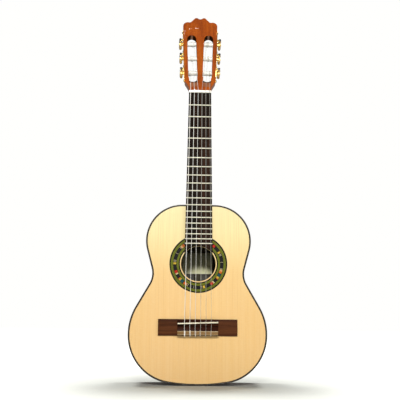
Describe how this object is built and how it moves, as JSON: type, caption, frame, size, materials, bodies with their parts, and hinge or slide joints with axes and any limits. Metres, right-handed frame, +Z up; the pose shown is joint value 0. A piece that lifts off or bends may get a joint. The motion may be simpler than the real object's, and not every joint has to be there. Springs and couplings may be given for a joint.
{
  "type": "classical guitar",
  "caption": "Small classical guitar with a slotted head, geared tuning machines, fretted neck and a hollow braced body with a soundhole, bridge and nylon strings.",
  "frame": {"origin": "centre of the soundhole, on the soundboard's outer face", "axes": "+Z up the neck towards the head, -Y out of the soundboard towards the strings, +X to the treble side"},
  "size_m": [0.2684, 0.0927, 0.7562],
  "materials": {
    "spruce": "satin lacquered spruce, fine straight grain",
    "mahogany": "gloss lacquered mahogany, red-brown",
    "spruce_inside": "raw sanded spruce",
    "mahogany_inside": "raw sanded mahogany",
    "binding": "gloss black binding",
    "rosette": "inlaid green rings, black lines and a mosaic of dyed tiles",
    "label": "blank paper, matt",
    "neck_wood": "satin lacquered mahogany",
    "head_veneer": "high gloss orange-red veneer",
    "fingerboard": "oiled dark rosewood",
    "fret_metal": "polished nickel silver",
    "nut_white": "polished white plastic",
    "rosewood": "oiled rosewood",
    "tie_block_inlay": "light wood inlay, satin",
    "saddle_ivory": "polished ivory plastic",
    "wound_string": "silvered wire winding",
    "nylon_string": "clear nylon",
    "gold_plate": "stamped, gold plated",
    "roller_white": "white moulded plastic sleeve",
    "gold_gear": "brass",
    "dark_steel": "blackened steel",
    "button_gold": "gold coloured moulded button"
  },
  "bodies": {
    "guitar": {"soundboard": "spruce", "back_plate": "mahogany", "rib_bass": "mahogany", "rib_treble": "mahogany", "top_linings": "spruce_inside", "back_linings": "spruce_inside", "neck_block": "mahogany_inside", "tail_block": "mahogany_inside", "harmonic_bars": "spruce_inside", "fan_braces": "spruce_inside", "back_braces": "spruce_inside", "back_centre_strip": "spruce_inside", "top_binding": "binding", "back_binding": "binding", "end_graft": "binding", "rosette": "rosette", "label": "label", "neck": "neck_wood", "headstock": "neck_wood", "head_veneer": "head_veneer", "heel_cap": "binding", "fingerboard": "fingerboard", "frets": "fret_metal", "nut": "nut_white", "bridge": "rosewood", "tie_block_inlay": "tie_block_inlay", "saddle": "saddle_ivory", "tuner_plate_bass": "gold_plate", "tuner_plate_treble": "gold_plate", "tuner_screws": "dark_steel", "string_6": "wound_string", "string_5": "wound_string", "string_4": "wound_string", "string_3": "nylon_string", "string_2": "nylon_string", "string_1": "nylon_string"},
    "post_6": {"roller_6": "roller_white", "gear_6": "gold_gear"},
    "peg_6": {"worm_6": "dark_steel", "button_6": "button_gold"},
    "post_5": {"roller_5": "roller_white", "gear_5": "gold_gear"},
    "peg_5": {"worm_5": "dark_steel", "button_5": "button_gold"},
    "post_4": {"roller_4": "roller_white", "gear_4": "gold_gear"},
    "peg_4": {"worm_4": "dark_steel", "button_4": "button_gold"},
    "post_3": {"roller_3": "roller_white", "gear_3": "gold_gear"},
    "peg_3": {"worm_3": "dark_steel", "button_3": "button_gold"},
    "post_2": {"roller_2": "roller_white", "gear_2": "gold_gear"},
    "peg_2": {"worm_2": "dark_steel", "button_2": "button_gold"},
    "post_1": {"roller_1": "roller_white", "gear_1": "gold_gear"},
    "peg_1": {"worm_1": "dark_steel", "button_1": "button_gold"}
  },
  "joints": [
    {"name": "post_6_turn", "type": "hinge", "parent": "guitar", "child": "post_6", "pos_m": [-0.02234, 0.01694, 0.39461], "axis": [-0.9994, -0.0073, -0.0341], "continuous": true},
    {"name": "peg_6_turn", "type": "hinge", "parent": "guitar", "child": "peg_6", "pos_m": [-0.03899, 0.01839, 0.40143], "axis": [0, 0.9781, -0.2079], "continuous": true},
    {"name": "post_5_turn", "type": "hinge", "parent": "guitar", "child": "post_5", "pos_m": [-0.02356, 0.02421, 0.42882], "axis": [-0.9994, -0.0073, -0.0341], "continuous": true},
    {"name": "peg_5_turn", "type": "hinge", "parent": "guitar", "child": "peg_5", "pos_m": [-0.04021, 0.02566, 0.43565], "axis": [0, 0.9781, -0.2079], "continuous": true},
    {"name": "post_4_turn", "type": "hinge", "parent": "guitar", "child": "post_4", "pos_m": [-0.02478, 0.03148, 0.46304], "axis": [-0.9994, -0.0073, -0.0341], "continuous": true},
    {"name": "peg_4_turn", "type": "hinge", "parent": "guitar", "child": "peg_4", "pos_m": [-0.04144, 0.03293, 0.46986], "axis": [0, 0.9781, -0.2079], "continuous": true},
    {"name": "post_3_turn", "type": "hinge", "parent": "guitar", "child": "post_3", "pos_m": [0.02478, 0.03148, 0.46304], "axis": [0.9994, -0.0073, -0.0341], "continuous": true},
    {"name": "peg_3_turn", "type": "hinge", "parent": "guitar", "child": "peg_3", "pos_m": [0.04144, 0.03293, 0.46986], "axis": [0, 0.9781, -0.2079], "continuous": true},
    {"name": "post_2_turn", "type": "hinge", "parent": "guitar", "child": "post_2", "pos_m": [0.02356, 0.02421, 0.42882], "axis": [0.9994, -0.0073, -0.0341], "continuous": true},
    {"name": "peg_2_turn", "type": "hinge", "parent": "guitar", "child": "peg_2", "pos_m": [0.04021, 0.02566, 0.43565], "axis": [0, 0.9781, -0.2079], "continuous": true},
    {"name": "post_1_turn", "type": "hinge", "parent": "guitar", "child": "post_1", "pos_m": [0.02234, 0.01694, 0.39461], "axis": [0.9994, -0.0073, -0.0341], "continuous": true},
    {"name": "peg_1_turn", "type": "hinge", "parent": "guitar", "child": "peg_1", "pos_m": [0.03899, 0.01839, 0.40143], "axis": [0, 0.9781, -0.2079], "continuous": true}
  ],
  "couplings": [
    {"joint": "post_6_turn", "follows": "peg_6_turn", "ratio": 0.071429},
    {"joint": "post_5_turn", "follows": "peg_5_turn", "ratio": 0.071429},
    {"joint": "post_4_turn", "follows": "peg_4_turn", "ratio": 0.071429},
    {"joint": "post_3_turn", "follows": "peg_3_turn", "ratio": 0.071429},
    {"joint": "post_2_turn", "follows": "peg_2_turn", "ratio": 0.071429},
    {"joint": "post_1_turn", "follows": "peg_1_turn", "ratio": 0.071429}
  ]
}
